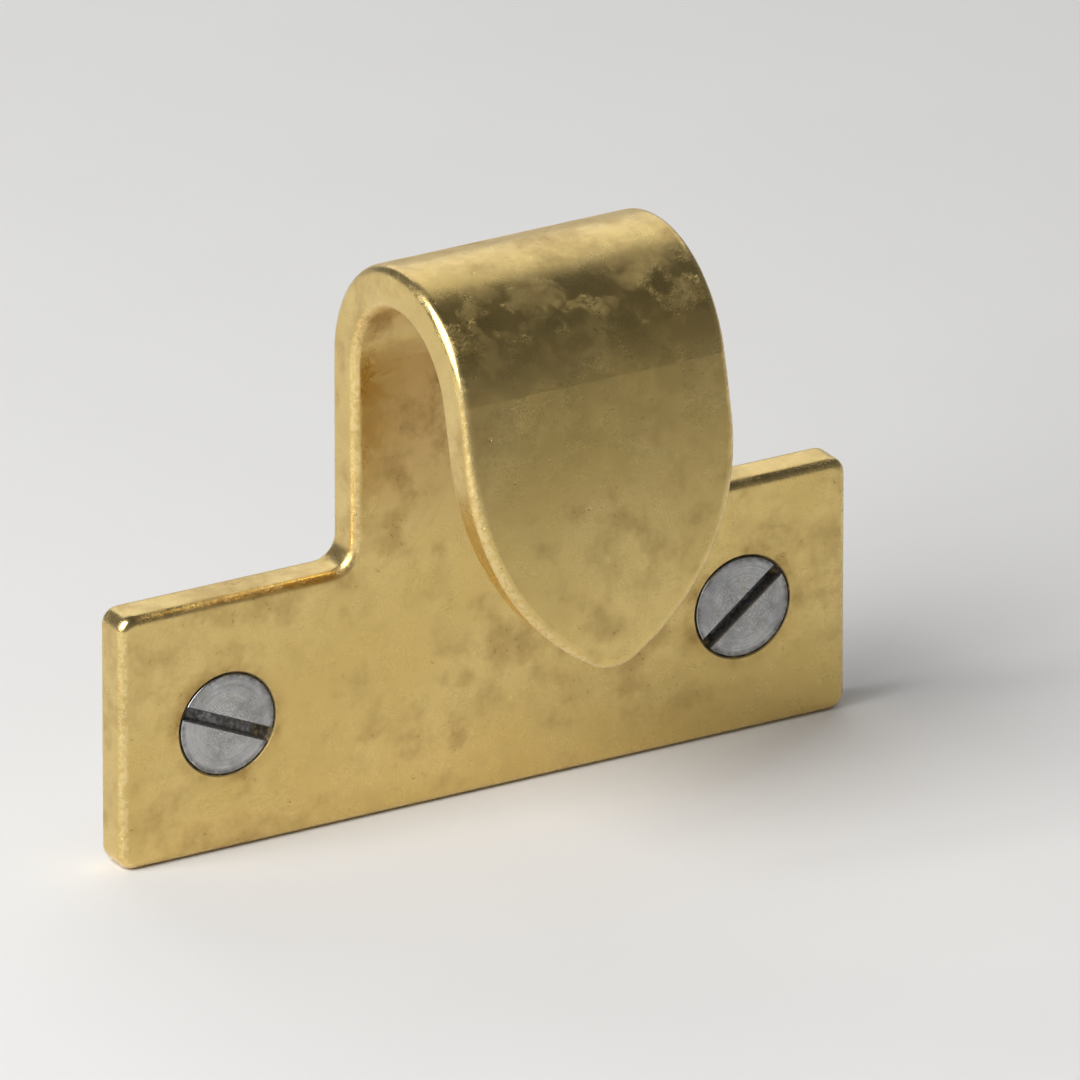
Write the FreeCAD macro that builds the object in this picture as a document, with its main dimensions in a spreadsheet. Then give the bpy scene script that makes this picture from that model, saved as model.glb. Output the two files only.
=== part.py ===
import FreeCAD, Part
import math
import os

import Sketcher

# Hook sash lift: a one-piece brass casting screwed to the bottom rail of a sliding sash window.
#
# Frame: +X to the right along the sash, -Y out of the sash towards the room, +Z up. The origin is on the
# back face of the plate, midway between the two screws. All lengths are in millimetres.

DRIVING_DIMENSIONS = [
    ("plate_width", 55, "length of the back plate along the sash"),
    ("wing_height", 18, "height of the two wings that take the screws"),
    ("plate_thickness", 3, "thickness of the plate, the tongue and the bend"),
    ("plate_corner", 1.2, "radius of the wings' outer corners"),
    ("root_radius", 1.6, "radius of the inner corners between the wings and the tongue"),
    ("tongue_width", 20, "width of the tongue and of the bend"),
    ("overall_height", 41, "from the plate's bottom edge to the top of the bend"),
    ("bend_radius", 8.75, "outer radius of the bend over the top"),
    ("leg_slope", 14, "degrees by which the front leg faces upwards where it leaves the bend"),
    ("leg_outer_radius", 100, "radius of the front leg's outer face"),
    ("leg_inner_radius", 160, "radius of the front leg's inner face, which thins it towards its tip"),
    ("tip_height", 15, "from the plate's bottom edge to the front leg's tip"),
    ("tip_radius", 3, "radius of the rounded tip, seen from the front"),
    ("taper_start", 30, "from the plate's bottom edge to where the front leg starts to narrow"),
    ("edge_round", 0.7, "radius along every outer edge of the casting"),
    ("leg_spare", 1, "length of front leg below the tip, which the taper takes off"),
    ("screw_spacing", 39, "distance between the two screws"),
    ("hole_diameter", 4, "clearance hole for a screw"),
    ("sink_diameter", 7.4, "mouth of the countersink"),
    ("head_diameter", 7, "screw head"),
    ("head_land", 0.2, "straight rim of the screw head above its cone"),
    ("neck_diameter", 3.8, "screw just under its head, inside the plate"),
    ("shank_diameter", 3.5, "screw shank behind the plate"),
    ("screw_length", 16, "screw from the top of its head to its point"),
    ("plain_shank", 3, "plain shank that stands out of the back of the plate"),
    ("thread_end_diameter", 2.9, "threaded shank just before its point"),
    ("point_length", 3.2, "tapered point of the screw"),
    ("slot_width", 0.9, "slot across the screw head"),
    ("slot_depth", 1, "depth of that slot"),
    ("slot_turn_left", 24, "degrees that the left screw's slot is turned from level"),
    ("slot_turn_right", -38, "degrees that the right screw's slot is turned from level"),
]

H_AXIS = -1
V_AXIS = -2
START, END, CENTRE = 1, 2, 3


def make_sheet(doc):
    """Spreadsheet with one aliased cell per driving dimension."""
    sheet = doc.addObject("Spreadsheet::Sheet", "dims")
    for row, (alias, value, meaning) in enumerate(DRIVING_DIMENSIONS, start=1):
        sheet.set(f"A{row}", alias)
        sheet.set(f"B{row}", str(value))
        sheet.set(f"C{row}", meaning)
        sheet.setAlias(f"B{row}", alias)
    doc.recompute()
    return sheet


def size(sheet, alias):
    return float(sheet.get(alias))


def new_body(doc, label):
    body = doc.addObject("PartDesign::Body", label)
    body.Label = label
    return body


def new_sketch(body, name, role, lift=None):
    """Sketch on one of the body's own origin planes; lift is an expression that moves it along its normal."""
    plane = next(item for item in body.Origin.OriginFeatures if item.Role == role)
    sketch = body.newObject("Sketcher::SketchObject", name)
    sketch.AttachmentSupport = (plane, [""])
    sketch.MapMode = "FlatFace"
    if lift:
        sketch.setExpression("AttachmentOffset.Base.z", lift)
    return sketch


def point(x, y):
    return FreeCAD.Vector(x, y, 0)


def line(sketch, start, end):
    return sketch.addGeometry(Part.LineSegment(start, end), False)


def arc(sketch, centre, radius, first, last):
    """Arc drawn anticlockwise from the first to the last angle, in radians."""
    circle = Part.Circle(centre, FreeCAD.Vector(0, 0, 1), radius)
    return sketch.addGeometry(Part.ArcOfCircle(circle, first, last), False)


def rule(sketch, kind, *where):
    return sketch.addConstraint(Sketcher.Constraint(kind, *where))


def drive(sketch, name, expression, kind, *where):
    """Named dimension whose value comes from the spreadsheet."""
    index = rule(sketch, kind, *where)
    sketch.renameConstraint(index, name)
    sketch.setExpression("Constraints." + name, expression)


def closed_polygon(sketch, corners):
    """Straight-sided closed outline; each side's end meets the next side's start."""
    sides = [line(sketch, corners[i], corners[(i + 1) % len(corners)]) for i in range(len(corners))]
    for i, side in enumerate(sides):
        rule(sketch, "Coincident", side, END, sides[(i + 1) % len(sides)], START)
    return sides


def check_solved(sketch):
    if sketch.solve() != 0 or not sketch.FullyConstrained:
        raise RuntimeError(f"{sketch.Name} is not fully constrained")


def add_feature(body, kind, name, profile=None):
    feature = body.newObject(kind, name)
    if profile is not None:
        feature.Profile = profile
        profile.Visibility = False
    return feature


def must_shrink(body, feature, before):
    """A cut that misses the solid raises nothing, so the volumes are compared."""
    if feature.Shape.Volume >= before - 1e-6:
        raise RuntimeError(f"{feature.Name} cut nothing from {body.Name}")


def rounded(body, name, base, edges, radius):
    """Fillet along the numbered edges of the base feature."""
    fillet = body.newObject("PartDesign::Fillet", name)
    fillet.Base = (base, [f"Edge{number}" for number in edges])
    fillet.setExpression("Radius", radius)
    body.Document.recompute()
    body.Tip = fillet
    return fillet


def edges_where(feature, test):
    """Numbers of the edges whose bounding box passes the test."""
    return [i for i, edge in enumerate(feature.Shape.Edges, start=1) if test(edge.BoundBox)]


def face_normal(face, where):
    u, v = face.Surface.parameter(where)
    return face.normalAt(u, v)


def sharp_edges(feature, smooth_below=math.radians(5)):
    """Numbers of the edges where two faces meet at an angle, without the rims of round holes."""
    shape = feature.Shape
    found = []
    for number, edge in enumerate(shape.Edges, start=1):
        faces = shape.ancestorsOfType(edge, Part.Face)
        if edge.isClosed() or len(faces) != 2:
            continue
        middle = edge.valueAt((edge.FirstParameter + edge.LastParameter) / 2)
        if face_normal(faces[0], middle).getAngle(face_normal(faces[1], middle)) > smooth_below:
            found.append(number)
    return found


def centred_rectangle(sketch, half_w, half_h, width, height):
    """Rectangle about the sketch's origin, its two sizes driven by expressions."""
    corners = [point(-half_w, -half_h), point(half_w, -half_h), point(half_w, half_h), point(-half_w, half_h)]
    bottom, right, top, left = closed_polygon(sketch, corners)
    rule(sketch, "Horizontal", bottom)
    rule(sketch, "Horizontal", top)
    rule(sketch, "Vertical", right)
    rule(sketch, "Vertical", left)
    rule(sketch, "Symmetric", bottom, START, top, START, H_AXIS, START)
    drive(sketch, "width", width, "DistanceX", bottom, START, bottom, END, 2 * half_w)
    drive(sketch, "height", height, "DistanceY", right, START, right, END, 2 * half_h)
    check_solved(sketch)


def plate_sketch(body, sheet):
    """Rectangle of the wings, centred on the origin."""
    sketch = new_sketch(body, "plate_outline", "XZ_Plane")
    half_w = size(sheet, "plate_width") / 2
    half_h = size(sheet, "wing_height") / 2
    centred_rectangle(sketch, half_w, half_h, "dims.plate_width", "dims.wing_height")
    return sketch


def strip_sketch(body, sheet):
    """Side view of the strip: up the tongue, over the bend and down the front leg."""
    sketch = new_sketch(body, "strip_profile", "YZ_Plane")
    thick = size(sheet, "plate_thickness")
    bend = size(sheet, "bend_radius")
    outer = size(sheet, "leg_outer_radius")
    inner = size(sheet, "leg_inner_radius")
    slope = math.radians(size(sheet, "leg_slope"))
    base_z = -size(sheet, "wing_height") / 2
    end_z = base_z + size(sheet, "tip_height") - size(sheet, "leg_spare")
    bend_z = base_z + size(sheet, "overall_height") - bend
    leg_turn = math.pi - slope
    out = point(-math.cos(slope), math.sin(slope))

    bend_centre = point(-bend, bend_z)
    outer_centre = bend_centre - out * (outer - bend)
    inner_centre = bend_centre - out * (inner - bend + thick)

    def turn_at_end(centre, radius):
        return math.pi - math.asin((end_z - centre.y) / radius)

    outer_turn = turn_at_end(outer_centre, outer)
    inner_turn = turn_at_end(inner_centre, inner)
    outer_end = outer_centre + point(math.cos(outer_turn), math.sin(outer_turn)) * outer
    inner_end = inner_centre + point(math.cos(inner_turn), math.sin(inner_turn)) * inner

    back = line(sketch, point(0, base_z), point(0, bend_z))
    over = arc(sketch, bend_centre, bend, 0, leg_turn)
    leg = arc(sketch, outer_centre, outer, leg_turn, outer_turn)
    end = line(sketch, outer_end, inner_end)
    inside_leg = arc(sketch, inner_centre, inner, leg_turn, inner_turn)
    under = arc(sketch, bend_centre, bend - thick, 0, leg_turn)
    front = line(sketch, point(-thick, bend_z), point(-thick, base_z))
    foot = line(sketch, point(-thick, base_z), point(0, base_z))

    rule(sketch, "Tangent", back, END, over, START)
    rule(sketch, "Tangent", over, END, leg, START)
    rule(sketch, "Coincident", leg, END, end, START)
    rule(sketch, "Coincident", end, END, inside_leg, END)
    rule(sketch, "Tangent", inside_leg, START, under, END)
    rule(sketch, "Tangent", under, START, front, START)
    rule(sketch, "Coincident", front, END, foot, START)
    rule(sketch, "Coincident", foot, END, back, START)
    rule(sketch, "Coincident", over, CENTRE, under, CENTRE)
    rule(sketch, "Vertical", back)
    rule(sketch, "Vertical", front)
    rule(sketch, "Horizontal", end)
    rule(sketch, "Horizontal", foot)
    rule(sketch, "PointOnObject", back, START, V_AXIS)

    drive(sketch, "thickness", "dims.plate_thickness", "DistanceX", foot, START, foot, END, thick)
    drive(sketch, "bend_radius", "dims.bend_radius", "Radius", over, bend)
    drive(sketch, "leg_outer", "dims.leg_outer_radius", "Radius", leg, outer)
    drive(sketch, "leg_inner", "dims.leg_inner_radius", "Radius", inside_leg, inner)
    drive(sketch, "foot_drop", "dims.wing_height / 2", "DistanceY", back, START, H_AXIS, START, -base_z)
    drive(sketch, "bend_rise", "dims.overall_height - dims.wing_height / 2 - dims.bend_radius",
          "DistanceY", H_AXIS, START, over, CENTRE, bend_z)
    drive(sketch, "outer_rise", "dims.bend_radius * sin(dims.leg_slope * 1 deg)",
          "DistanceY", over, CENTRE, over, END, bend * math.sin(slope))
    drive(sketch, "inner_rise", "(dims.bend_radius - dims.plate_thickness) * sin(dims.leg_slope * 1 deg)",
          "DistanceY", under, CENTRE, under, END, (bend - thick) * math.sin(slope))
    drive(sketch, "end_rise", "dims.tip_height - dims.leg_spare - dims.wing_height / 2",
          "DistanceY", H_AXIS, START, leg, END, end_z)
    check_solved(sketch)
    return sketch


def taper_sketch(body, sheet):
    """Waste round the front leg: an outer box less the outline that narrows to the rounded tip."""
    sketch = new_sketch(body, "leg_taper", "XZ_Plane", "dims.bend_radius")
    half = size(sheet, "tongue_width") / 2
    tip_r = size(sheet, "tip_radius")
    base_z = -size(sheet, "wing_height") / 2
    start_z = base_z + size(sheet, "taper_start")
    tip_z = base_z + size(sheet, "tip_height")
    margin = 2
    side_x = half + margin
    floor_z = tip_z - margin
    rise = start_z - tip_z - tip_r
    side_r = (half ** 2 + rise ** 2 - tip_r ** 2) / (2 * (half - tip_r))
    turn = math.atan2(rise, side_r - half)
    right_centre = point(half - side_r, start_z)
    left_centre = point(side_r - half, start_z)
    tip_centre = point(0, tip_z + tip_r)

    right = arc(sketch, right_centre, side_r, -turn, 0)
    tip = arc(sketch, tip_centre, tip_r, math.pi + turn, 2 * math.pi - turn)
    left = arc(sketch, left_centre, side_r, math.pi, math.pi + turn)
    top_left = line(sketch, point(-half, start_z), point(-side_x, start_z))
    far_left = line(sketch, point(-side_x, start_z), point(-side_x, floor_z))
    floor = line(sketch, point(-side_x, floor_z), point(side_x, floor_z))
    far_right = line(sketch, point(side_x, floor_z), point(side_x, start_z))
    top_right = line(sketch, point(side_x, start_z), point(half, start_z))

    rule(sketch, "Tangent", right, START, tip, END)
    rule(sketch, "Tangent", left, END, tip, START)
    rule(sketch, "Coincident", left, START, top_left, START)
    rule(sketch, "Coincident", top_left, END, far_left, START)
    rule(sketch, "Coincident", far_left, END, floor, START)
    rule(sketch, "Coincident", floor, END, far_right, START)
    rule(sketch, "Coincident", far_right, END, top_right, START)
    rule(sketch, "Coincident", top_right, END, right, END)
    rule(sketch, "Horizontal", top_left)
    rule(sketch, "Horizontal", top_right)
    rule(sketch, "Horizontal", floor)
    rule(sketch, "Vertical", far_left)
    rule(sketch, "Vertical", far_right)
    rule(sketch, "Horizontal", right, CENTRE, right, END)
    rule(sketch, "Symmetric", left, START, right, END, V_AXIS)
    rule(sketch, "Symmetric", left, CENTRE, right, CENTRE, V_AXIS)
    rule(sketch, "Equal", top_left, top_right)

    drive(sketch, "tip_radius", "dims.tip_radius", "Radius", tip, tip_r)
    drive(sketch, "width", "dims.tongue_width", "DistanceX", left, START, right, END, 2 * half)
    drive(sketch, "start_rise", "dims.taper_start - dims.wing_height / 2",
          "DistanceY", H_AXIS, START, right, END, start_z)
    drive(sketch, "tip_rise", "dims.tip_height - dims.wing_height / 2 + dims.tip_radius",
          "DistanceY", H_AXIS, START, tip, CENTRE, tip_z + tip_r)
    rule(sketch, "DistanceX", top_right, END, top_right, START, margin)
    rule(sketch, "DistanceY", floor, START, tip, CENTRE, tip_r + margin)
    check_solved(sketch)
    return sketch


def hole_sketch(body, sheet):
    """Two circles on the plate's front face, one in each wing."""
    sketch = new_sketch(body, "hole_centres", "XZ_Plane", "dims.plate_thickness")
    reach = size(sheet, "screw_spacing") / 2
    radius = size(sheet, "hole_diameter") / 2
    circles = []
    for side in (-1, 1):
        circle = Part.Circle(point(side * reach, 0), FreeCAD.Vector(0, 0, 1), radius)
        circles.append(sketch.addGeometry(circle, False))
    left, right = circles
    rule(sketch, "Symmetric", left, CENTRE, right, CENTRE, H_AXIS, START)
    rule(sketch, "PointOnObject", right, CENTRE, H_AXIS)
    rule(sketch, "Equal", left, right)
    drive(sketch, "hole_radius", "dims.hole_diameter / 2", "Radius", left, radius)
    drive(sketch, "spacing", "dims.screw_spacing", "DistanceX", left, CENTRE, right, CENTRE, 2 * reach)
    check_solved(sketch)
    return sketch


def pad(body, name, profile, length, midplane=False):
    feature = add_feature(body, "PartDesign::Pad", name, profile)
    feature.setExpression("Length", length)
    if midplane:
        feature.SideType = "Symmetric"
    body.Document.recompute()
    return feature


def make_lift_body(doc, sheet):
    body = new_body(doc, "lift_body")
    pad(body, "wings", plate_sketch(body, sheet), "dims.plate_thickness")
    strip = pad(body, "strip", strip_sketch(body, sheet), "dims.tongue_width", midplane=True)

    before = strip.Shape.Volume
    taper = add_feature(body, "PartDesign::Pocket", "taper", taper_sketch(body, sheet))
    taper.Type = "ThroughAll"
    taper.Reversed = True
    doc.recompute()
    must_shrink(body, taper, before)

    before = taper.Shape.Volume
    holes = add_feature(body, "PartDesign::Hole", "screw_holes", hole_sketch(body, sheet))
    doc.recompute()
    holes.Threaded = False
    holes.DepthType = "ThroughAll"
    holes.HoleCutType = "Countersink"
    holes.HoleCutCustomValues = True
    holes.setExpression("Diameter", "dims.hole_diameter")
    holes.setExpression("HoleCutDiameter", "dims.sink_diameter")
    holes.HoleCutCountersinkAngle = 90
    doc.recompute()
    must_shrink(body, holes, before)
    round_lift_edges(body, holes, sheet)
    return body


def round_lift_edges(body, base, sheet):
    """Ease the corners and edges as the casting's pattern and its polishing do."""
    half_w = size(sheet, "plate_width") / 2
    half_t = size(sheet, "tongue_width") / 2
    half_h = size(sheet, "wing_height") / 2
    thick = size(sheet, "plate_thickness")
    near = 1e-4

    def through_plate(box):
        return box.YLength > thick - near and box.XLength < near and box.ZLength < near

    def is_wing_corner(box):
        return through_plate(box) and abs(abs(box.XMin) - half_w) < near

    def is_root(box):
        return through_plate(box) and abs(abs(box.XMin) - half_t) < near and abs(box.ZMin - half_h) < near

    corners = rounded(body, "wing_corners", base, edges_where(base, is_wing_corner), "dims.plate_corner")
    roots = rounded(body, "tongue_roots", corners, edges_where(corners, is_root), "dims.root_radius")
    rounded(body, "outer_edges", roots, sharp_edges(roots), "dims.edge_round")


def screw_section_sketch(body, sheet):
    """Half section of a screw: head, cone, neck, plain shank, threaded shank and point."""
    sketch = new_sketch(body, body.Label + "_section", "YZ_Plane")
    head_r = size(sheet, "head_diameter") / 2
    neck_r = size(sheet, "neck_diameter") / 2
    shank_r = size(sheet, "shank_diameter") / 2
    end_r = size(sheet, "thread_end_diameter") / 2
    land = size(sheet, "head_land")
    plain = size(sheet, "plain_shank")
    length = size(sheet, "screw_length")
    point_length = size(sheet, "point_length")
    seat_y = size(sheet, "sink_diameter") / 2 - head_r - size(sheet, "plate_thickness")
    top_y = seat_y - land
    tip_y = top_y + length
    corners = [
        point(top_y, 0),
        point(top_y, head_r),
        point(seat_y, head_r),
        point(seat_y + head_r - neck_r, neck_r),
        point(0, shank_r),
        point(plain, shank_r),
        point(tip_y - point_length, end_r),
        point(tip_y, 0),
    ]
    top, rim, cone, neck, shank, thread, tip, axis = closed_polygon(sketch, corners)
    rule(sketch, "Vertical", top)
    rule(sketch, "Horizontal", rim)
    rule(sketch, "Horizontal", shank)
    rule(sketch, "PointOnObject", axis, START, H_AXIS)
    rule(sketch, "PointOnObject", axis, END, H_AXIS)
    rule(sketch, "PointOnObject", neck, END, V_AXIS)

    head_overhang = "(dims.head_diameter - dims.neck_diameter) / 2"
    drive(sketch, "head_radius", "dims.head_diameter / 2", "DistanceY", top, START, top, END, head_r)
    drive(sketch, "land", "dims.head_land", "DistanceX", rim, START, rim, END, land)
    drive(sketch, "seat", "dims.plate_thickness - (dims.sink_diameter - dims.head_diameter) / 2",
          "DistanceX", rim, END, H_AXIS, START, -seat_y)
    drive(sketch, "cone_length", head_overhang, "DistanceX", cone, START, cone, END, head_r - neck_r)
    drive(sketch, "cone_drop", head_overhang, "DistanceY", cone, END, cone, START, head_r - neck_r)
    drive(sketch, "shank_radius", "dims.shank_diameter / 2",
          "DistanceY", H_AXIS, START, neck, END, shank_r)
    drive(sketch, "plain", "dims.plain_shank", "DistanceX", H_AXIS, START, shank, END, plain)
    drive(sketch, "thread_end", "dims.thread_end_diameter / 2",
          "DistanceY", H_AXIS, START, thread, END, end_r)
    drive(sketch, "point_length", "dims.point_length", "DistanceX", tip, START, tip, END, point_length)
    drive(sketch, "length", "dims.screw_length", "DistanceX", axis, END, axis, START, length)
    check_solved(sketch)
    return sketch


def make_screw(doc, sheet, label, across, slot_turn):
    """Countersunk slotted wood screw; the threaded stretch is the plain envelope of its thread."""
    body = new_body(doc, label)
    section = screw_section_sketch(body, sheet)
    turned = add_feature(body, "PartDesign::Revolution", label + "_turned", section)
    turned.ReferenceAxis = (section, ["H_Axis"])
    turned.Angle = 360
    doc.recompute()

    before = turned.Shape.Volume
    slot = add_feature(body, "PartDesign::Pocket", label + "_slot", slot_sketch(body, sheet))
    slot.setExpression("Length", "dims.slot_depth")
    doc.recompute()
    must_shrink(body, slot, before)
    body.Tip = slot

    about_screw = FreeCAD.Rotation(FreeCAD.Vector(0, 1, 0), 1)
    body.Placement = FreeCAD.Placement(FreeCAD.Vector(0, 0, 0), about_screw)
    body.setExpression("Placement.Base.x", across)
    body.setExpression("Placement.Rotation.Angle", slot_turn)
    return body


def slot_sketch(body, sheet):
    """Long thin rectangle across the top of the head."""
    top = "dims.plate_thickness - (dims.sink_diameter - dims.head_diameter) / 2 + dims.head_land"
    sketch = new_sketch(body, body.Label + "_slot_outline", "XZ_Plane", top)
    half_l = size(sheet, "head_diameter")
    half_w = size(sheet, "slot_width") / 2
    centred_rectangle(sketch, half_l, half_w, "dims.head_diameter * 2", "dims.slot_width")
    return sketch


def check_document(doc):
    """Stop on any object that failed to compute."""
    doc.recompute()
    for item in doc.Objects:
        if "Invalid" in item.State or "Error" in item.State:
            raise RuntimeError(f"{item.Name} failed to compute")


def write_steps(pieces, folder):
    os.makedirs(folder, exist_ok=True)
    for piece in pieces:
        shape = piece.Shape
        if shape.isNull() or not shape.isValid():
            raise RuntimeError(f"{piece.Label} has no valid shape")
    for piece in pieces:
        piece.Shape.exportStep(os.path.join(folder, piece.Label + ".step"))
        box = piece.Shape.optimalBoundingBox()
        print(f"{piece.Label}: {piece.Shape.Volume:.1f} mm3, X {box.XMin:.2f}..{box.XMax:.2f}, "
              f"Y {box.YMin:.2f}..{box.YMax:.2f}, Z {box.ZMin:.2f}..{box.ZMax:.2f}")


doc = FreeCAD.newDocument("sash_lift_handle")
sheet = make_sheet(doc)
lift_body = make_lift_body(doc, sheet)
screw_left = make_screw(doc, sheet, "screw_left", "-dims.screw_spacing / 2", "dims.slot_turn_left")
screw_right = make_screw(doc, sheet, "screw_right", "dims.screw_spacing / 2", "dims.slot_turn_right")
check_document(doc)
write_steps([lift_body, screw_left, screw_right], "parts")
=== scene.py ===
import math

import bmesh
import bpy
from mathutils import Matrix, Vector


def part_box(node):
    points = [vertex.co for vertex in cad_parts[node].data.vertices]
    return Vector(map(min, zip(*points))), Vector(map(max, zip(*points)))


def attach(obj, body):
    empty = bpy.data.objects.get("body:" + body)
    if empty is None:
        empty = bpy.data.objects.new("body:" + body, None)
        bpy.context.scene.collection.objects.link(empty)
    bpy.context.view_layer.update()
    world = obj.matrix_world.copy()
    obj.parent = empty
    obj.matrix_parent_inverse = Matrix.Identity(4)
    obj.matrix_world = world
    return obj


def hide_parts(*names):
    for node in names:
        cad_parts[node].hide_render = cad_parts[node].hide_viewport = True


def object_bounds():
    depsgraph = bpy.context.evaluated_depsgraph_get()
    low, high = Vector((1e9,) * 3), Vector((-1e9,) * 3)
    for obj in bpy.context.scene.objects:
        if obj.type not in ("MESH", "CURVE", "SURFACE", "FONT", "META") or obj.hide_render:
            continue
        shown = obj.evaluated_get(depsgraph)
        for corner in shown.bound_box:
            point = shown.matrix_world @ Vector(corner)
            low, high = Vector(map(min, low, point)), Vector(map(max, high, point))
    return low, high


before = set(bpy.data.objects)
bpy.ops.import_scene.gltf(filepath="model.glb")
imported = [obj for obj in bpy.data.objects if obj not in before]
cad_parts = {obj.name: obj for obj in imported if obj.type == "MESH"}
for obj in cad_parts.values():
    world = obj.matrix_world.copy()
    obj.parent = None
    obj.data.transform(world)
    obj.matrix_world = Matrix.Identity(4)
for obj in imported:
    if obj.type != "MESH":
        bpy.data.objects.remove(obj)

cad_low, cad_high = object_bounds()

MM = 0.001

# The viewing direction and distance of the photograph.
CAMERA_AZIMUTH = math.radians(-30.1)
CAMERA_ELEVATION = math.radians(23.0)
CAMERA_DISTANCE = 2.14
FRAME_FILL = 0.78

# Screw sizes in millimetres; the thread's crests lie on the CAD screw's surface.
screw_low, screw_high = (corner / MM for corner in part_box("screw_right"))
SCREW_ACROSS = (screw_low.x + screw_high.x) / 2
HEAD_TOP = screw_low.y
HEAD_RADIUS = (screw_high.x - screw_low.x) / 2
TIP = screw_high.y
SINK_RADIUS = HEAD_RADIUS + 0.2
THREAD_START = 3.0
THREAD_END = TIP - 3.2
SHANK_RADIUS = 1.75
END_RADIUS = 1.45
PITCH = 1.4
THREAD_DEPTH = 0.42
SLOT_WIDTH = 0.9
SLOT_DEPTH = 1.0
SLOT_TURN = {"screw_left": 24.0, "screw_right": -38.0}
SEGMENTS = 72
ROWS_PER_PITCH = 22
CREST_CLEARANCE = 0.004
CREST_LAND = 0.035
FLANK_WIDTH = 0.30
ROOT_WIDTH = 0.365
RUN_IN = 1.6
RUN_OUT = 2.2
RIM_ROUND = 0.11
SHARP_EDGE = math.radians(28)

# Colours of the brass, the steel and the floor.
BRASS_DEEP = (0.725, 0.53, 0.19)
BRASS_PALE = (0.78, 0.585, 0.23)
BRASS_WORN = (0.86, 0.66, 0.30)
# Paler brass for the recesses: painted light that brightens the shade there.
BRASS_PAINTED_FILL = (0.84, 0.655, 0.32)
BRASS_TARNISH = (0.47, 0.305, 0.10)
BRASS_SPOT = (0.30, 0.185, 0.07)
# Near-black for the countersink's crease and the hole: dirt and painted shade.
SINK_DIRT_AND_SHADE = (0.035, 0.027, 0.018)
STEEL_BRIGHT = (0.50, 0.505, 0.515)
STEEL_DULL = (0.31, 0.312, 0.315)
STEEL_RING = (0.25, 0.25, 0.255)
STEEL_SCUFF = (0.68, 0.68, 0.67)
STEEL_TINT = (0.42, 0.37, 0.26)
# Dark colour for the thread's roots: painted shade.
THREAD_ROOT_SHADE = (0.16, 0.15, 0.14)
# Near-black for the slot and the head's rim: dirt and painted shade.
SLOT_DIRT_AND_SHADE = (0.06, 0.05, 0.04)
FLOOR_DARK = (0.80, 0.795, 0.785)
FLOOR_PALE = (0.83, 0.825, 0.815)

# Brightness of the room, from straight down at 0 to straight up at 1.
ROOM_BOTTOM = (0.6, 0.6, 0.6, 1)
ROOM_TOP = (0.08, 0.08, 0.082, 1)
ROOM_STOPS = ((0.44, 0.5), (0.5, 0.21), (0.56, 0.17), (0.74, 0.13), (0.84, 0.09))


# ---------------------------------------------------------------- shader helpers

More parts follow.
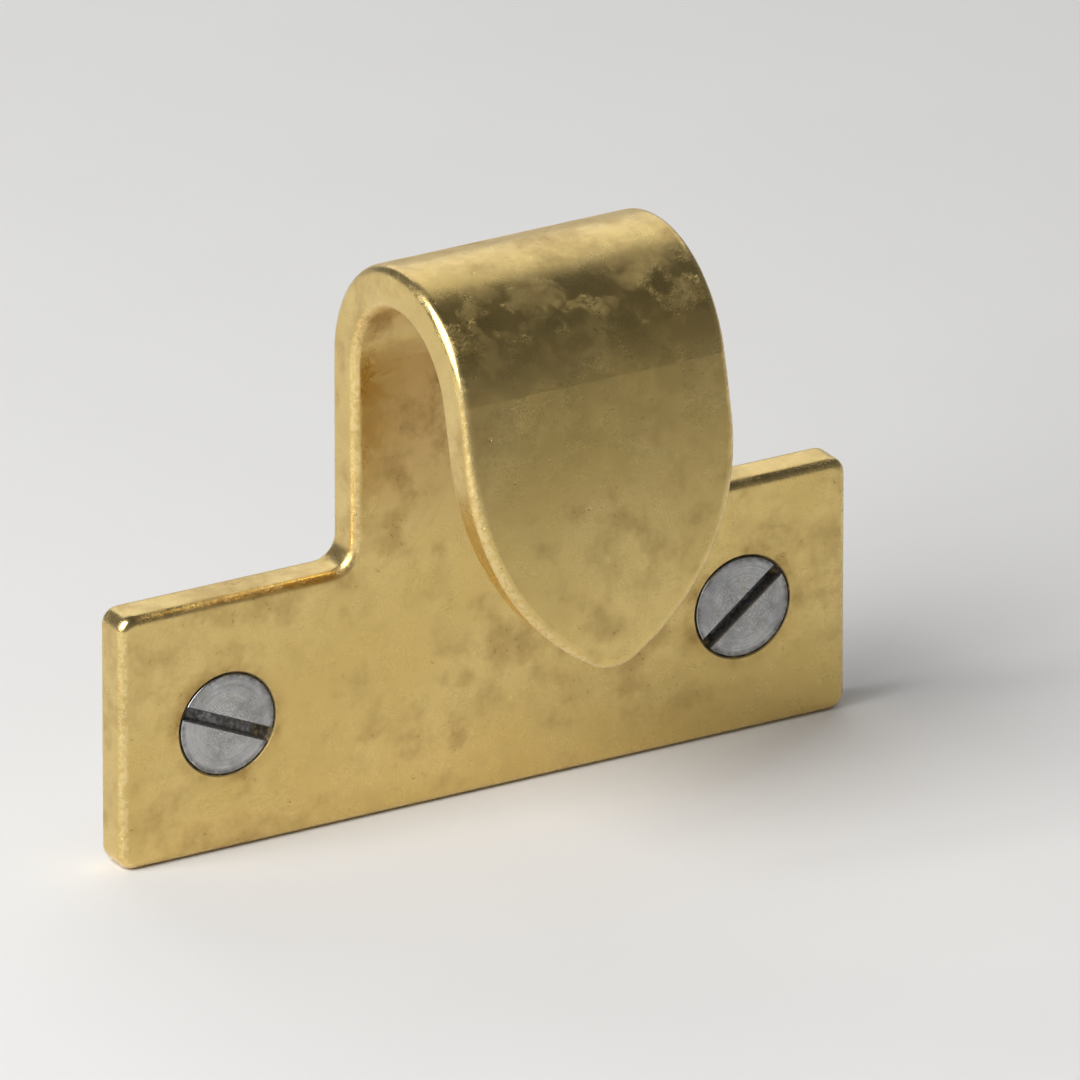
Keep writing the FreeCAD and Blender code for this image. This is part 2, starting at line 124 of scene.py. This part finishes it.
class Shading:
    """Adds shader nodes to one material and links them."""

    def __init__(self, name):
        self.material = bpy.data.materials.new(name)
        self.material.use_nodes = True
        self.tree = self.material.node_tree
        self.shader = self.tree.nodes["Principled BSDF"]

    def put(self, value, socket):
        if isinstance(value, bpy.types.NodeSocket):
            self.tree.links.new(value, socket)
        elif value is not None:
            socket.default_value = value

    def add(self, kind, **settings):
        node = self.tree.nodes.new("ShaderNode" + kind)
        for name, value in settings.items():
            setattr(node, name, value)
        return node

    def math(self, operation, a, b=None, c=None, clamp=False):
        node = self.add("Math", operation=operation, use_clamp=clamp)
        for value, socket in zip((a, b, c), node.inputs):
            self.put(value, socket)
        return node.outputs[0]

    def vector(self, operation, a, b=None):
        node = self.add("VectorMath", operation=operation)
        self.put(a, node.inputs[0])
        if operation == "SCALE":
            self.put(b, node.inputs["Scale"])
        else:
            self.put(b, node.inputs[1])
        return node.outputs["Value"] if operation in ("LENGTH", "DOT_PRODUCT") else node.outputs[0]

    def step(self, value, low, high, out_low=0.0, out_high=1.0):
        """Smooth step from low to high."""
        node = self.add("MapRange", interpolation_type="SMOOTHSTEP")
        for name, number in (("From Min", low), ("From Max", high),
                             ("To Min", out_low), ("To Max", out_high)):
            self.put(number, node.inputs[name])
        self.put(value, node.inputs["Value"])
        return node.outputs["Result"]

    def noise(self, where, scale, detail=3.0, roughness=0.5):
        node = self.add("TexNoise")
        self.put(where, node.inputs["Vector"])
        for name, number in (("Scale", scale), ("Detail", detail), ("Roughness", roughness)):
            self.put(number, node.inputs[name])
        return node.outputs["Fac"]

    def cells(self, where, scale):
        node = self.add("TexVoronoi")
        self.put(where, node.inputs["Vector"])
        self.put(scale, node.inputs["Scale"])
        return node.outputs["Distance"], node.outputs["Color"]

    def stretched(self, where, turn, along, across):
        """Coordinates turned in degrees about Y, then scaled: low along one way, high across it."""
        node = self.add("Mapping", vector_type="POINT")
        self.put(where, node.inputs["Vector"])
        node.inputs["Rotation"].default_value = (0, math.radians(turn), 0)
        scale = self.add("Mapping", vector_type="POINT")
        self.put(node.outputs[0], scale.inputs["Vector"])
        scale.inputs["Scale"].default_value = (along, across, across)
        return scale.outputs[0]

    def blend(self, factor, a, b):
        node = self.add("Mix", data_type="RGBA")
        self.put(factor, node.inputs["Factor"])
        for value, socket in ((a, node.inputs[6]), (b, node.inputs[7])):
            self.put((*value, 1.0) if isinstance(value, tuple) else value, socket)
        return node.outputs[2]

    def blend_number(self, factor, a, b):
        node = self.add("Mix", data_type="FLOAT")
        self.put(factor, node.inputs["Factor"])
        self.put(a, node.inputs[2])
        self.put(b, node.inputs[3])
        return node.outputs[0]

    def relief(self, *layers):
        """Bump from layers of (height 0 to 1, how many micrometres that height stands proud)."""
        total = None
        for height, microns in layers:
            total = self.math("MULTIPLY", height, microns) if total is None else \
                self.math("MULTIPLY_ADD", height, microns, total)
        node = self.add("Bump")
        self.put(total, node.inputs["Height"])
        self.put(1e-6, node.inputs["Distance"])
        self.put(1.0, node.inputs["Strength"])
        return node.outputs["Normal"]

    def scratches(self, where, turn, across, along, width, presence):
        """Thin lines one way, 1 on a line and 0 off it, where the presence noise allows them."""
        lines = self.noise(self.stretched(where, turn, along, across), 1.0, 2.0, 0.5)
        from_line = self.math("ABSOLUTE", self.math("SUBTRACT", lines, 0.5))
        line = self.step(from_line, 0.0, width, 1.0, 0.0)
        return self.math("MULTIPLY", line, presence)

    def finish(self, colour, metal, roughness, normal):
        for value, name in ((colour, "Base Color"), (metal, "Metallic"), (roughness, "Roughness"),
                            (normal, "Normal")):
            self.put(value, self.shader.inputs[name])
        return self.material


def place_of(shade):
    """Position in millimetres, its three parts, and the parts of the surface's own normal."""
    coordinate = shade.add("TexCoord")
    position = shade.vector("SCALE", coordinate.outputs["Object"], 1000.0)
    parts = shade.add("SeparateXYZ")
    shade.put(position, parts.inputs[0])
    geometry = shade.add("NewGeometry")
    facing = shade.add("SeparateXYZ")
    shade.put(geometry.outputs["Normal"], facing.inputs[0])
    return position, parts.outputs, facing.outputs


def cast_brass():
    """Polished brass casting: bright and finely scratched outside, dull where nothing rubs it, with painted
    light making the recesses paler.
    """
    shade = Shading("cast_brass")
    position, (x, y, z), (nx, ny, nz) = place_of(shade)
    across = shade.math("ABSOLUTE", x)

    # Where each sort of surface is.
    behind_leg = shade.math("MULTIPLY", shade.step(ny, 0.05, 0.5), shade.step(y, -3.6, -3.2, 1.0, 0.0))
    back = shade.step(y, -0.12, -0.02)
    under_hook = shade.math("MULTIPLY", shade.step(across, 9.5, 5.0), shade.step(z, 8.0, 20.0))
    under_hook = shade.math("MULTIPLY", under_hook, shade.step(y, -3.2, -3.0, 0.0, 1.0))
    under_hook = shade.math("MULTIPLY", under_hook, shade.step(ny, -0.6, -0.9))
    under_crown = shade.math("MULTIPLY", shade.step(nz, -0.1, -0.7), shade.step(z, 20.0, 24.0))
    sheltered = shade.math("MAXIMUM", behind_leg, shade.math("MAXIMUM", under_hook, under_crown))

    to_screw = shade.math("SUBTRACT", across, SCREW_ACROSS)
    reach = shade.math("SQRT", shade.math("ADD", shade.math("MULTIPLY", to_screw, to_screw),
                                          shade.math("MULTIPLY", z, z)))
    in_front = shade.step(y, -1.2, -1.5)
    at_sink = shade.math("MULTIPLY", shade.step(reach, SINK_RADIUS + 0.02, SINK_RADIUS - 0.12), in_front)
    at_sink = shade.math("MAXIMUM", at_sink, shade.step(reach, 2.12, 2.02))
    sink_edge = shade.math("MULTIPLY", shade.step(reach, SINK_RADIUS + 1.1, SINK_RADIUS), in_front)

    # Rounded edges: on the plate no part of the normal is near 1, and on the strip its sideways part
    # is in between.
    sideways = shade.math("ABSOLUTE", nx)
    steepest = shade.math("MAXIMUM", sideways, shade.math("MAXIMUM", shade.math("ABSOLUTE", ny),
                                                         shade.math("ABSOLUTE", nz)))
    plate_edge = shade.math("MULTIPLY", shade.step(steepest, 0.985, 0.86), shade.step(y, -3.2, -3.05))
    plate_edge = shade.math("MULTIPLY", plate_edge, shade.step(z, 22.0, 18.0))
    strip_edge = shade.math("MULTIPLY", shade.step(sideways, 0.12, 0.45), shade.step(sideways, 0.995, 0.9))
    edge = shade.math("MAXIMUM", plate_edge, strip_edge)

    # Slow and fast variation.
    slow = shade.noise(position, 0.11, 3.0, 0.55)
    cloud = shade.noise(position, 0.42, 6.0, 0.62)
    fine = shade.noise(position, 2.6, 4.0, 0.6)
    sand = shade.noise(position, 6.5, 3.0, 0.55)

    # Lines of the belt that ground the back flat.
    ground = shade.noise(shade.stretched(position, 3, 0.10, 6.5), 1.0, 4.0, 0.65)

    # Tarnish: in the sheltered places, round the screws, and in faint clouds elsewhere.
    drift = shade.math("MULTIPLY", shade.math("SUBTRACT", slow, 0.5), 0.9)
    clouds = shade.step(shade.math("ADD", cloud, drift), 0.46, 0.78)
    tarnish = shade.math("MULTIPLY", clouds, 0.55)
    for place, patches in ((sheltered, shade.step(cloud, 0.4, 0.7, 0.0, 0.3)),
                           (sink_edge, shade.step(cloud, 0.35, 0.7, 0.1, 0.6)),
                           (back, shade.step(ground, 0.35, 0.65, 0.15, 0.5))):
        tarnish = shade.math("ADD", tarnish, shade.math("MULTIPLY", place, patches))
    worn = shade.math("MULTIPLY", edge, shade.step(fine, 0.38, 0.6))
    unworn = shade.math("SUBTRACT", 1.0, shade.math("MULTIPLY", worn, 0.75))
    tarnish = shade.math("MULTIPLY", tarnish, unworn, clamp=True)
    # Near-black ring where the screw head meets the countersink and down the hole wall: dirt and painted
    # shade.
    sink_dirt_and_shade = shade.math("MULTIPLY", at_sink, shade.step(fine, 0.25, 0.6, 0.55, 1.0), clamp=True)

    bright = shade.blend(shade.step(slow, 0.35, 0.65), BRASS_DEEP, BRASS_PALE)
    colour = shade.blend(worn, bright, BRASS_WORN)
    # Paler colour behind the leg and under the hook and crown: painted light lifting the shade in these
    # recesses.
    colour = shade.blend(shade.math("MULTIPLY", sheltered, 0.8), colour, BRASS_PAINTED_FILL)
    colour = shade.blend(tarnish, colour, BRASS_TARNISH)
    spots = shade.step(shade.math("ADD", fine, shade.math("MULTIPLY", clouds, 0.12)), 0.70, 0.78)
    colour = shade.blend(shade.math("MULTIPLY", spots, 0.5), colour, BRASS_SPOT)
    colour = shade.blend(sink_dirt_and_shade, colour, SINK_DIRT_AND_SHADE)
    metal = shade.blend_number(sink_dirt_and_shade, 1.0, 0.1)

    # Hairline scratches in several directions, longer ones few.
    some = shade.step(shade.noise(position, 0.5, 2.0), 0.45, 0.62)
    lines = shade.scratches(position, 12, 16.0, 0.30, 0.016, some)
    for turn, wide, long, thin, seed in ((-24, 13.0, 0.22, 0.012, 31.0), (66, 15.0, 0.35, 0.013, 57.0),
                                         (103, 18.0, 0.28, 0.015, 83.0)):
        moved = shade.vector("ADD", position, (seed, seed * 0.7, seed * 1.3))
        there = shade.step(shade.noise(moved, 0.4, 2.0), 0.5, 0.64)
        lines = shade.math("MAXIMUM", lines, shade.scratches(moved, turn, wide, long, thin, there))
    polish = shade.noise(shade.stretched(position, 84, 0.25, 7.0), 1.0, 3.0, 0.6)

    # Roughness.
    roughness = shade.step(cloud, 0.3, 0.75, 0.25, 0.34)
    uneven = shade.math("MULTIPLY", shade.math("SUBTRACT", fine, 0.5), 0.08)
    roughness = shade.math("ADD", roughness, uneven)
    roughness = shade.math("ADD", roughness, shade.math("MULTIPLY", tarnish, 0.09))
    roughness = shade.math("ADD", roughness, shade.math("MULTIPLY", lines, 0.10))
    roughness = shade.blend_number(sheltered, roughness, shade.math("ADD", roughness, 0.2))
    roughness = shade.math("SUBTRACT", roughness, shade.math("MULTIPLY", worn, 0.06))
    ground_roughness = shade.math("ADD", 0.34, shade.math("MULTIPLY", ground, 0.2))
    roughness = shade.blend_number(back, roughness, ground_roughness)
    roughness = shade.blend_number(sink_dirt_and_shade, roughness, 0.8)

    # Relief: the casting's slow unevenness, polishing lines, scratches, blowholes, and the grain of the
    # sand inside the hook.
    holes_distance, holes_colour = shade.cells(position, 0.75)
    pick = shade.add("SeparateColor")
    shade.put(holes_colour, pick.inputs[0])
    chosen = shade.step(pick.outputs[0], 0.80, 0.82)
    size = shade.math("ADD", 0.045, shade.math("MULTIPLY", pick.outputs[1], 0.06))
    past_rim = shade.math("SUBTRACT", holes_distance, size)
    hole = shade.math("MULTIPLY", shade.step(past_rim, 0.0, 0.03, 1.0, 0.0), chosen)
    polish = shade.math("MULTIPLY", polish, shade.math("SUBTRACT", 1.0, back))
    rough_cast = shade.math("MULTIPLY", sand, shade.math("MULTIPLY_ADD", behind_leg, 0.8, 0.04))
    normal = shade.relief((shade.noise(position, 0.16, 2.0, 0.4), 55),
                          (shade.noise(position, 0.75, 3.0, 0.5), 8), (polish, 1.8), (lines, -3.2),
                          (hole, -26), (rough_cast, 26), (shade.math("MULTIPLY", ground, back), 16))
    return shade.finish(colour, metal, roughness, normal)


def screw_steel():
    """Zinc plated steel screw: faced head, dulled clouds, dirt and painted shade in the slot and at the
    head's rim, painted shade in the thread's roots.
    """
    shade = Shading("screw_steel")
    position, (x, y, z), (_, ny, _) = place_of(shade)
    sides = shade.math("SIGN", x)
    from_axis = shade.math("SUBTRACT", shade.math("ABSOLUTE", x), SCREW_ACROSS)
    reach = shade.math("SQRT", shade.math("ADD", shade.math("MULTIPLY", from_axis, from_axis),
                                          shade.math("MULTIPLY", z, z)))
    turned = shade.math("ARCTAN2", z, from_axis)

    on_face = shade.math("MULTIPLY", shade.step(ny, -0.85, -0.97), shade.step(y, -2.9, -2.97))
    in_slot = shade.math("MULTIPLY", shade.step(y, -2.97, -2.75), shade.step(reach, 3.35, 3.2))
    in_slot = shade.math("MULTIPLY", in_slot, shade.step(y, -1.6, -1.9))
    threaded = shade.step(y, THREAD_START - 0.4, THREAD_START + 0.4)

    cloud = shade.noise(position, 0.55, 5.0, 0.6)
    fine = shade.noise(position, 3.2, 4.0, 0.6)
    wobble = shade.math("ADD", reach, shade.math("MULTIPLY", fine, 0.02))
    rings = shade.math("SINE", shade.math("MULTIPLY", wobble, 2 * math.pi / 0.17))
    ring_noise_place = shade.add("CombineXYZ")
    shade.put(shade.math("MULTIPLY", reach, 9.0), ring_noise_place.inputs[0])
    shade.put(shade.math("MULTIPLY", turned, 0.35), ring_noise_place.inputs[1])
    shade.put(sides, ring_noise_place.inputs[2])
    ring_noise = shade.noise(ring_noise_place.outputs[0], 1.0, 3.0, 0.6)

    # Scuffs that a screwdriver left, mostly near the middle.
    near_middle = shade.step(reach, 3.2, 0.8, 0.15, 1.0)
    scuffs = shade.scratches(position, 37, 9.0, 0.9, 0.030, near_middle)
    scuffs = shade.math("MAXIMUM", scuffs, shade.scratches(position, -52, 8.0, 0.8, 0.024, near_middle))
    scuffs = shade.math("MULTIPLY", scuffs, on_face)

    dull = shade.step(cloud, 0.36, 0.70)
    # Darker in patches at the head's rim and inside the slot: dirt and painted shade.
    rim_dirt_and_shade = shade.math("MULTIPLY", shade.step(reach, 3.05, 3.45), on_face)
    rim_dirt_and_shade = shade.math("MULTIPLY", rim_dirt_and_shade, shade.step(fine, 0.35, 0.7, 0.1, 0.75))
    slot_dirt_and_shade = shade.math("MULTIPLY", in_slot, shade.step(fine, 0.25, 0.65, 0.2, 0.8))
    dirt_and_shade = shade.math("MAXIMUM", slot_dirt_and_shade, rim_dirt_and_shade)
    # Darker in the roots of the thread: painted shade.
    root = shade.step(reach, SHANK_RADIUS * 0.93, SHANK_RADIUS * 0.72)
    root = shade.math("MULTIPLY", shade.math("MULTIPLY", root, threaded), 0.5)

    colour = shade.blend(dull, STEEL_BRIGHT, STEEL_DULL)
    band = shade.math("MULTIPLY", shade.step(ring_noise, 0.42, 0.62), on_face)
    colour = shade.blend(shade.math("MULTIPLY", band, 0.35), colour, STEEL_RING)
    colour = shade.blend(scuffs, colour, STEEL_SCUFF)
    tint = shade.math("MULTIPLY", shade.step(shade.noise(position, 0.9, 2.0), 0.5, 0.75), 0.3)
    colour = shade.blend(tint, colour, STEEL_TINT)
    colour = shade.blend(root, colour, THREAD_ROOT_SHADE)
    colour = shade.blend(dirt_and_shade, colour, SLOT_DIRT_AND_SHADE)
    metal = shade.blend_number(dirt_and_shade, 1.0, 0.25)

    roughness = shade.step(cloud, 0.3, 0.75, 0.20, 0.38)
    roughness = shade.math("MULTIPLY_ADD", band, 0.08, roughness)
    uneven = shade.math("MULTIPLY", shade.math("SUBTRACT", fine, 0.5), 0.12)
    roughness = shade.math("ADD", roughness, uneven)
    roughness = shade.math("SUBTRACT", roughness, shade.math("MULTIPLY", scuffs, 0.06))
    roughness = shade.blend_number(dirt_and_shade, roughness, 0.75)

    height = shade.math("ADD", shade.math("MULTIPLY", rings, 0.35), ring_noise)
    off_face = shade.math("SUBTRACT", 1.0, on_face)
    normal = shade.relief((shade.noise(position, 0.8, 2.0, 0.4), 9),
                          (shade.math("MULTIPLY", height, on_face), 5.0), (scuffs, -7.0),
                          (shade.math("MULTIPLY", fine, off_face), 7))
    return shade.finish(colour, metal, roughness, normal)


# ---------------------------------------------------------------- screws

def screw_profile():
    """Head and plain shank from the middle of the head to the start of the thread: (y, radius)."""
    points = [(HEAD_TOP, 0.0)]
    points += [(HEAD_TOP, HEAD_RADIUS * part) for part in (0.2, 0.4, 0.6, 0.8, 0.93)]
    for i in range(5):
        turn = math.pi / 2 * (i / 4)
        points.append((HEAD_TOP + RIM_ROUND * (1 - math.cos(turn)),
                       HEAD_RADIUS - RIM_ROUND * (1 - math.sin(turn))))
    points += [(-2.84, 3.5), (-2.79, 3.48), (-2.3, 2.99), (-1.7, 2.39), (-1.25, 1.94), (-1.15, 1.89),
               (0.0, 1.745), (1.0, 1.745), (2.0, 1.745)]
    return points


def crest_radius(y):
    """Outside radius of the thread, as the CAD screw tapers."""
    if y < THREAD_END:
        return SHANK_RADIUS + (END_RADIUS - SHANK_RADIUS) * (y - THREAD_START) / (THREAD_END - THREAD_START)
    return END_RADIUS * max(TIP - y, 0.0) / (TIP - THREAD_END)


def thread_radius(y, phase):
    """Radius at this height; phase runs from 0 to 1 over one pitch with the crest at 0.5."""
    crest = crest_radius(y) - CREST_CLEARANCE
    start = min(max((y - THREAD_START) / RUN_IN, 0.0), 1.0)
    end = min(max((TIP - 0.15 - y) / RUN_OUT, 0.0), 1.0)
    depth = min(THREAD_DEPTH, crest * 0.55) * (start * start * (3 - 2 * start))
    depth *= 0.35 + 0.65 * end
    from_crest = abs(phase - 0.5) * PITCH
    # A sharp crest with a narrow land, sloping flanks and a wide rounded root.
    fall = min(max((from_crest - CREST_LAND) / FLANK_WIDTH, 0.0), 1.0)
    fall = fall ** 0.85 if fall < 1 else 1.0
    into_root = min(max((from_crest - CREST_LAND - FLANK_WIDTH) / ROOT_WIDTH, 0.0), 1.0)
    root_swell = 0.06 * (1 - math.cos(math.pi * into_root)) / 2
    return max(crest - depth * (fall - root_swell), 0.012)


def make_screw(name, centre_x, slot_turn):
    """Slotted countersunk wood screw with a right-hand thread that runs out into a gimlet point."""
    mesh = bmesh.new()

    def ring(y_of, radius_of):
        row = []
        for i in range(SEGMENTS):
            turn = 2 * math.pi * i / SEGMENTS
            y = y_of(i)
            radius = radius_of(i, y)
            row.append(mesh.verts.new((math.cos(turn) * radius, y, math.sin(turn) * radius)))
        return row

    def bridge(first, second):
        for i in range(SEGMENTS):
            j = (i + 1) % SEGMENTS
            mesh.faces.new((first[i], first[j], second[j], second[i]))

    profile = screw_profile()
    middle = mesh.verts.new((0, profile[0][0], 0))
    rows = [ring(lambda i, y=y: y, lambda i, y, r=r: r) for y, r in profile[1:]]
    for i in range(SEGMENTS):
        mesh.faces.new((middle, rows[0][(i + 1) % SEGMENTS], rows[0][i]))
    for first, second in zip(rows, rows[1:]):
        bridge(first, second)

    # Rows that follow the helix: each has the same place in the pitch all the way round.
    plain_radius = SHANK_RADIUS - 0.005
    turns = int((TIP - THREAD_START) / PITCH) + 3
    grid = []
    for row in range(-ROWS_PER_PITCH, turns * ROWS_PER_PITCH):
        phase = (row % ROWS_PER_PITCH) / ROWS_PER_PITCH
        line = []
        for i in range(SEGMENTS + 1):
            raw = THREAD_START + PITCH * (row / ROWS_PER_PITCH + i / SEGMENTS)
            y = min(max(raw, THREAD_START), TIP - 0.02)
            radius = plain_radius if y <= THREAD_START else thread_radius(y, phase)
            turn = -2 * math.pi * i / SEGMENTS
            line.append((math.cos(turn) * radius, y, math.sin(turn) * radius))
        grid.append(line)
    keys = {}

    def vertex(place):
        key = tuple(round(v, 5) for v in place)
        if key not in keys:
            keys[key] = mesh.verts.new(place)
        return keys[key]

    for first, second in zip(grid, grid[1:]):
        for i in range(SEGMENTS):
            corners = [vertex(p) for p in (first[i], first[i + 1], second[i + 1], second[i])]
            unique = list(dict.fromkeys(corners))
            if len(unique) >= 3 and not mesh.faces.get(unique):
                mesh.faces.new(unique)

    start = []
    for i in range(SEGMENTS):
        turn = 2 * math.pi * i / SEGMENTS
        start.append(vertex((math.cos(turn) * plain_radius, THREAD_START, math.sin(turn) * plain_radius)))
    bridge(rows[-1], start)
    bmesh.ops.remove_doubles(mesh, verts=mesh.verts, dist=0.0004)
    bmesh.ops.dissolve_degenerate(mesh, edges=mesh.edges, dist=0.0003)
    open_edges = [edge for edge in mesh.edges if len(edge.link_faces) == 1]
    if open_edges:
        bmesh.ops.holes_fill(mesh, edges=open_edges, sides=0)
    bmesh.ops.recalc_face_normals(mesh, faces=mesh.faces)
    data = bpy.data.meshes.new(name)
    mesh.to_mesh(data)
    mesh.free()
    screw = bpy.data.objects.new(name, data)
    bpy.context.collection.objects.link(screw)

    cut_slot(screw)
    for polygon in screw.data.polygons:
        polygon.use_smooth = True
    turn = math.radians(slot_turn)
    for vert in screw.data.vertices:
        px, py, pz = vert.co
        vert.co = ((px * math.cos(turn) + pz * math.sin(turn)) * MM + centre_x * MM, py * MM,
                   (pz * math.cos(turn) - px * math.sin(turn)) * MM)
    keep_sharp_edges_sharp(screw)
    return screw


def cut_slot(screw):
    """Saw cut across the head with slightly broken edges and a rounded floor."""
    half = SLOT_WIDTH / 2
    floor = HEAD_TOP + SLOT_DEPTH
    section = [(-half - 0.55, HEAD_TOP - 0.5), (-half - 0.075, HEAD_TOP - 0.02), (-half, HEAD_TOP + 0.06),
               (-half, floor - 0.12), (-half + 0.05, floor - 0.03), (-half + 0.14, floor)]
    section += [(-x, y) for x, y in reversed(section)]
    cutter = bmesh.new()
    ends = [[cutter.verts.new((along, y, x)) for x, y in section] for along in (-5.0, 5.0)]
    count = len(section)
    for i in range(count):
        j = (i + 1) % count
        cutter.faces.new((ends[0][i], ends[0][j], ends[1][j], ends[1][i]))
    cutter.faces.new(ends[0])
    cutter.faces.new(list(reversed(ends[1])))
    bmesh.ops.recalc_face_normals(cutter, faces=cutter.faces)
    data = bpy.data.meshes.new("slot_cutter")
    cutter.to_mesh(data)
    cutter.free()
    tool = bpy.data.objects.new("slot_cutter", data)
    bpy.context.collection.objects.link(tool)
    cut = screw.modifiers.new("slot", "BOOLEAN")
    cut.object = tool
    cut.operation = "DIFFERENCE"
    cut.solver = "EXACT"
    bpy.context.view_layer.update()
    final = bpy.data.meshes.new_from_object(screw.evaluated_get(bpy.context.evaluated_depsgraph_get()))
    screw.modifiers.clear()
    screw.data = final
    bpy.data.objects.remove(tool)


def keep_sharp_edges_sharp(screw):
    """Edges steeper than SHARP_EDGE shade sharp; the flat head keeps a clean face."""
    mesh = bmesh.new()
    mesh.from_mesh(screw.data)
    for edge in mesh.edges:
        if len(edge.link_faces) == 2:
            edge.smooth = edge.calc_face_angle(0.0) < SHARP_EDGE
    mesh.to_mesh(screw.data)
    mesh.free()


# ---------------------------------------------------------------- room

def direction(azimuth, elevation):
    return Vector((math.sin(azimuth) * math.cos(elevation), -math.cos(azimuth) * math.cos(elevation),
                   math.sin(elevation)))


def make_camera():
    body_low, body_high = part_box("lift_body")
    centre = (body_low + body_high) / 2
    width = cad_high.x - cad_low.x
    data = bpy.data.cameras.new("camera")
    data.sensor_width = 36
    data.lens = 36 * CAMERA_DISTANCE * FRAME_FILL / width
    data.clip_end = 20
    camera = bpy.data.objects.new("camera", data)
    bpy.context.collection.objects.link(camera)
    out = direction(CAMERA_AZIMUTH, CAMERA_ELEVATION)
    camera.location = centre + out * CAMERA_DISTANCE
    camera.rotation_mode = "QUATERNION"
    camera.rotation_quaternion = (-out).to_track_quat("-Z", "Y")
    bpy.context.scene.camera = camera


def area_light(name, azimuth, elevation, distance, size, power):
    target = (cad_low + cad_high) / 2
    out = direction(math.radians(azimuth), math.radians(elevation))
    data = bpy.data.lights.new(name, "AREA")
    data.shape = "RECTANGLE"
    data.size, data.size_y = size
    data.energy = power
    light = bpy.data.objects.new(name, data)
    bpy.context.collection.objects.link(light)
    light.location = target + out * distance
    light.rotation_mode = "QUATERNION"
    light.rotation_quaternion = (-out).to_track_quat("-Z", "Y")
    light.visible_camera = False


def make_world():
    """A plain room: mid grey walls, darker towards the ceiling."""
    world = bpy.data.worlds.new("room")
    bpy.context.scene.world = world
    world.use_nodes = True
    nodes, links = world.node_tree.nodes, world.node_tree.links
    nodes.clear()
    coordinate = nodes.new("ShaderNodeTexCoord")
    split = nodes.new("ShaderNodeSeparateXYZ")
    links.new(coordinate.outputs["Generated"], split.inputs[0])
    remap = nodes.new("ShaderNodeMapRange")
    remap.inputs["From Min"].default_value = -1
    remap.inputs["From Max"].default_value = 1
    links.new(split.outputs["Z"], remap.inputs["Value"])
    ramp = nodes.new("ShaderNodeValToRGB")
    links.new(remap.outputs["Result"], ramp.inputs["Fac"])
    stops = ramp.color_ramp.elements
    stops[0].position = 0.0
    stops[0].color = ROOM_BOTTOM
    stops[1].position = 1.0
    stops[1].color = ROOM_TOP
    for place, value in ROOM_STOPS:
        stop = stops.new(place)
        stop.color = (value, value, value * 1.02, 1)
    background = nodes.new("ShaderNodeBackground")
    links.new(ramp.outputs["Color"], background.inputs["Color"])
    background.inputs["Strength"].default_value = 1.0
    output = nodes.new("ShaderNodeOutputWorld")
    links.new(background.outputs[0], output.inputs["Surface"])


def make_floor():
    bpy.ops.mesh.primitive_plane_add(size=6, location=(0, 0, cad_low.z))
    floor = bpy.context.object
    floor.name = "floor"
    shade = Shading("floor")
    coordinate = shade.add("TexCoord")
    mottle = shade.noise(coordinate.outputs["Object"], 60.0, 4.0, 0.5)
    colour = shade.blend(mottle, FLOOR_DARK, FLOOR_PALE)
    floor.data.materials.append(shade.finish(colour, None, 0.85, None))


# ---------------------------------------------------------------- build

brass = cast_brass()
steel = screw_steel()
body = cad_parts["lift_body"]
body.data.materials.clear()
body.data.materials.append(brass)

for node_name, side in (("screw_left", -1), ("screw_right", 1)):
    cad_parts[node_name].data.materials.clear()
    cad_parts[node_name].data.materials.append(steel)
    screw = make_screw("threaded_" + node_name, side * SCREW_ACROSS, SLOT_TURN[node_name])
    screw.data.materials.append(steel)
    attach(screw, "root")
    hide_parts(node_name)

make_floor()
make_camera()
make_world()
bpy.context.scene.view_settings.view_transform = "Standard"
area_light("window_light", 152, 34, 0.8, (0.9, 0.7), 1.9)
area_light("left_light", -78, 40, 0.6, (0.5, 0.5), 5.0)
